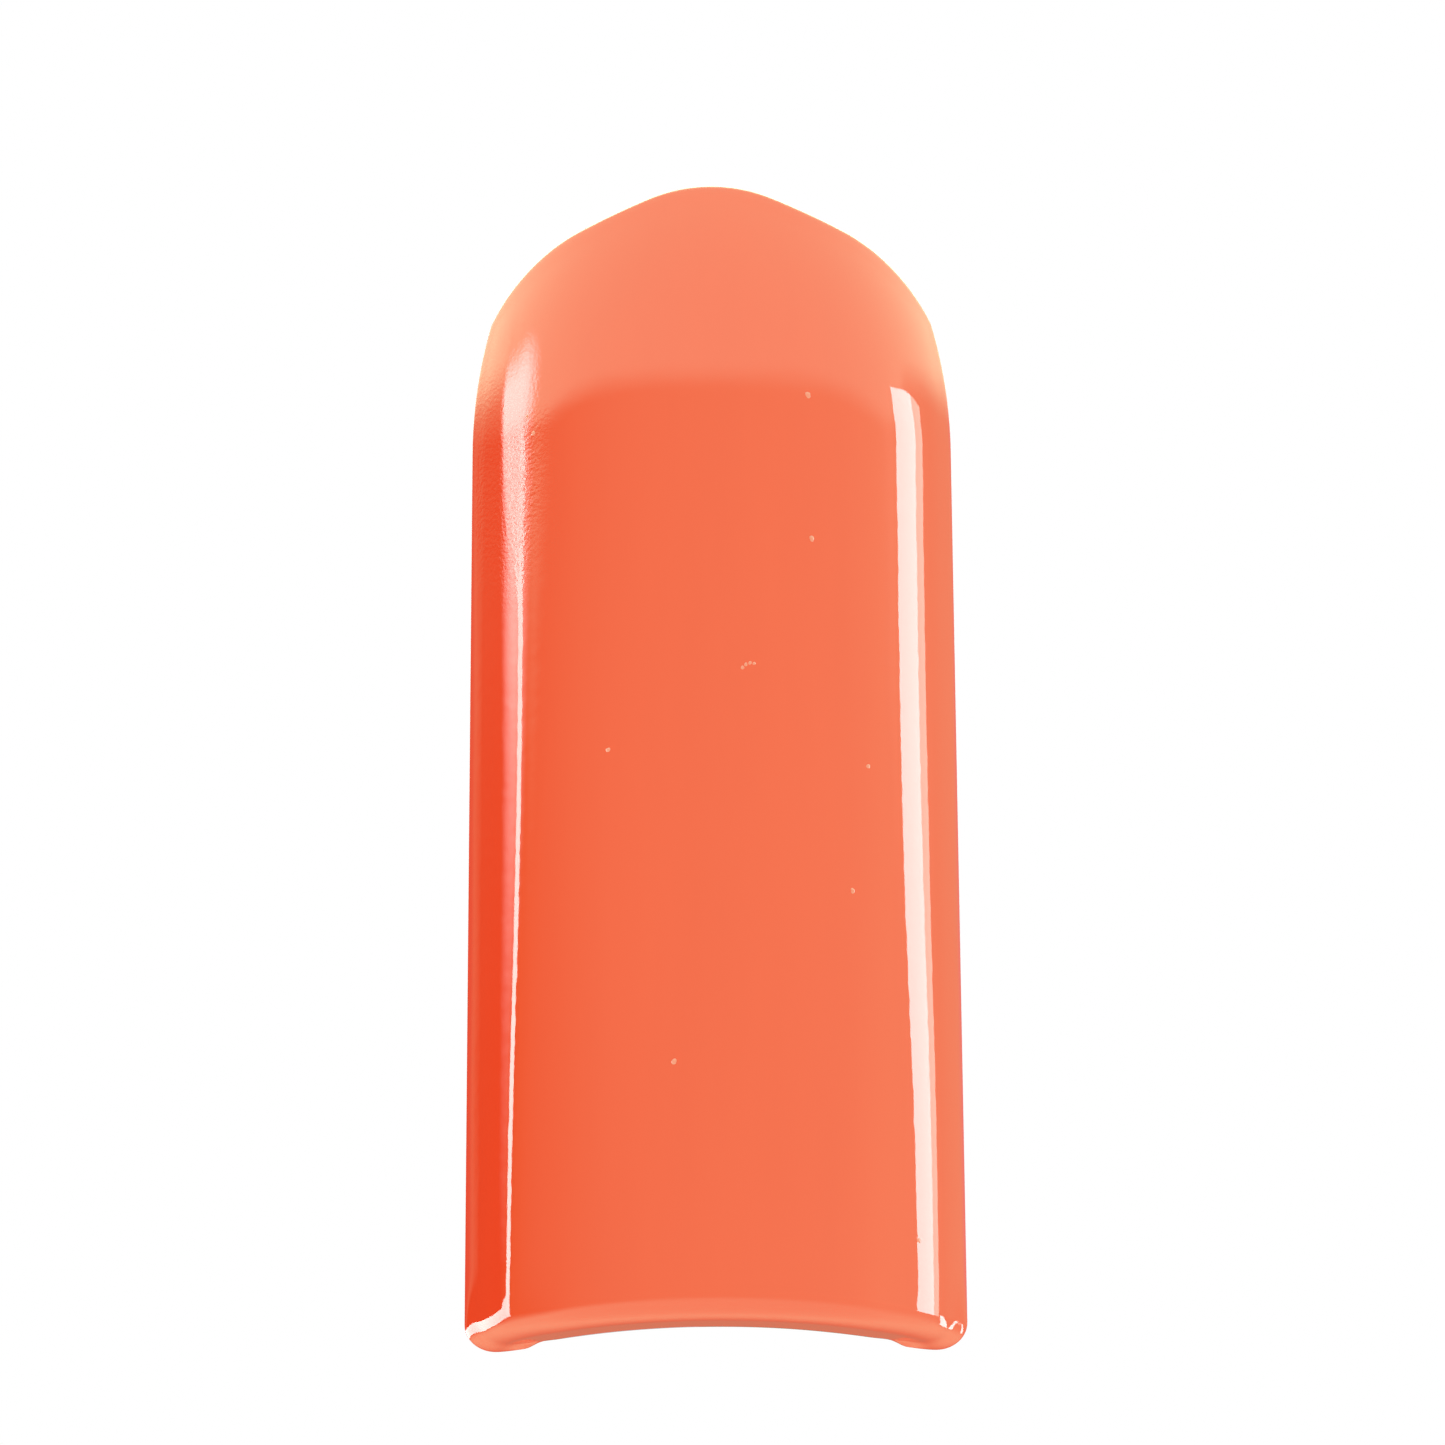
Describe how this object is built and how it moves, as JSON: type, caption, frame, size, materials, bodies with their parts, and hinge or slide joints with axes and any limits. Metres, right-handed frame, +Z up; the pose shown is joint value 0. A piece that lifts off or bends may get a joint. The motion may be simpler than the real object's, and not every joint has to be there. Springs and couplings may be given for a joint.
{
  "type": "artificial nail tip",
  "caption": "Glossy coral artificial nail tip: a convex moulded shell under bonded polish coats, oval at the cuticle end and square at the free edge",
  "frame": {"origin": "middle of the base, halfway along the finished length, on the plane of the long edges that the tip rests on", "axes": "+X across the tip to the right seen from the free edge, +Y along the tip from the square free edge to the cuticle end, +Z up out of the convex side"},
  "size_m": [0.0122, 0.0284, 0.0038],
  "materials": {
    "tip_plastic": "moulded ABS, natural milky off-white with a faint satin sheen",
    "base_coat": "cured clear base coat, seen only as a thin line at the edge",
    "first_colour": "cured pigmented polish, slightly thin and streaky",
    "second_colour": "cured pigmented polish, opaque coral orange",
    "top_gloss": "cured clear top coat at high gloss, which shows the coral coat under it"
  },
  "bodies": {
    "root": {"tip": "tip_plastic", "base_coat": "base_coat", "first_colour_coat": "first_colour", "second_colour_coat": "second_colour", "top_coat": "top_gloss"}
  },
  "joints": []
}
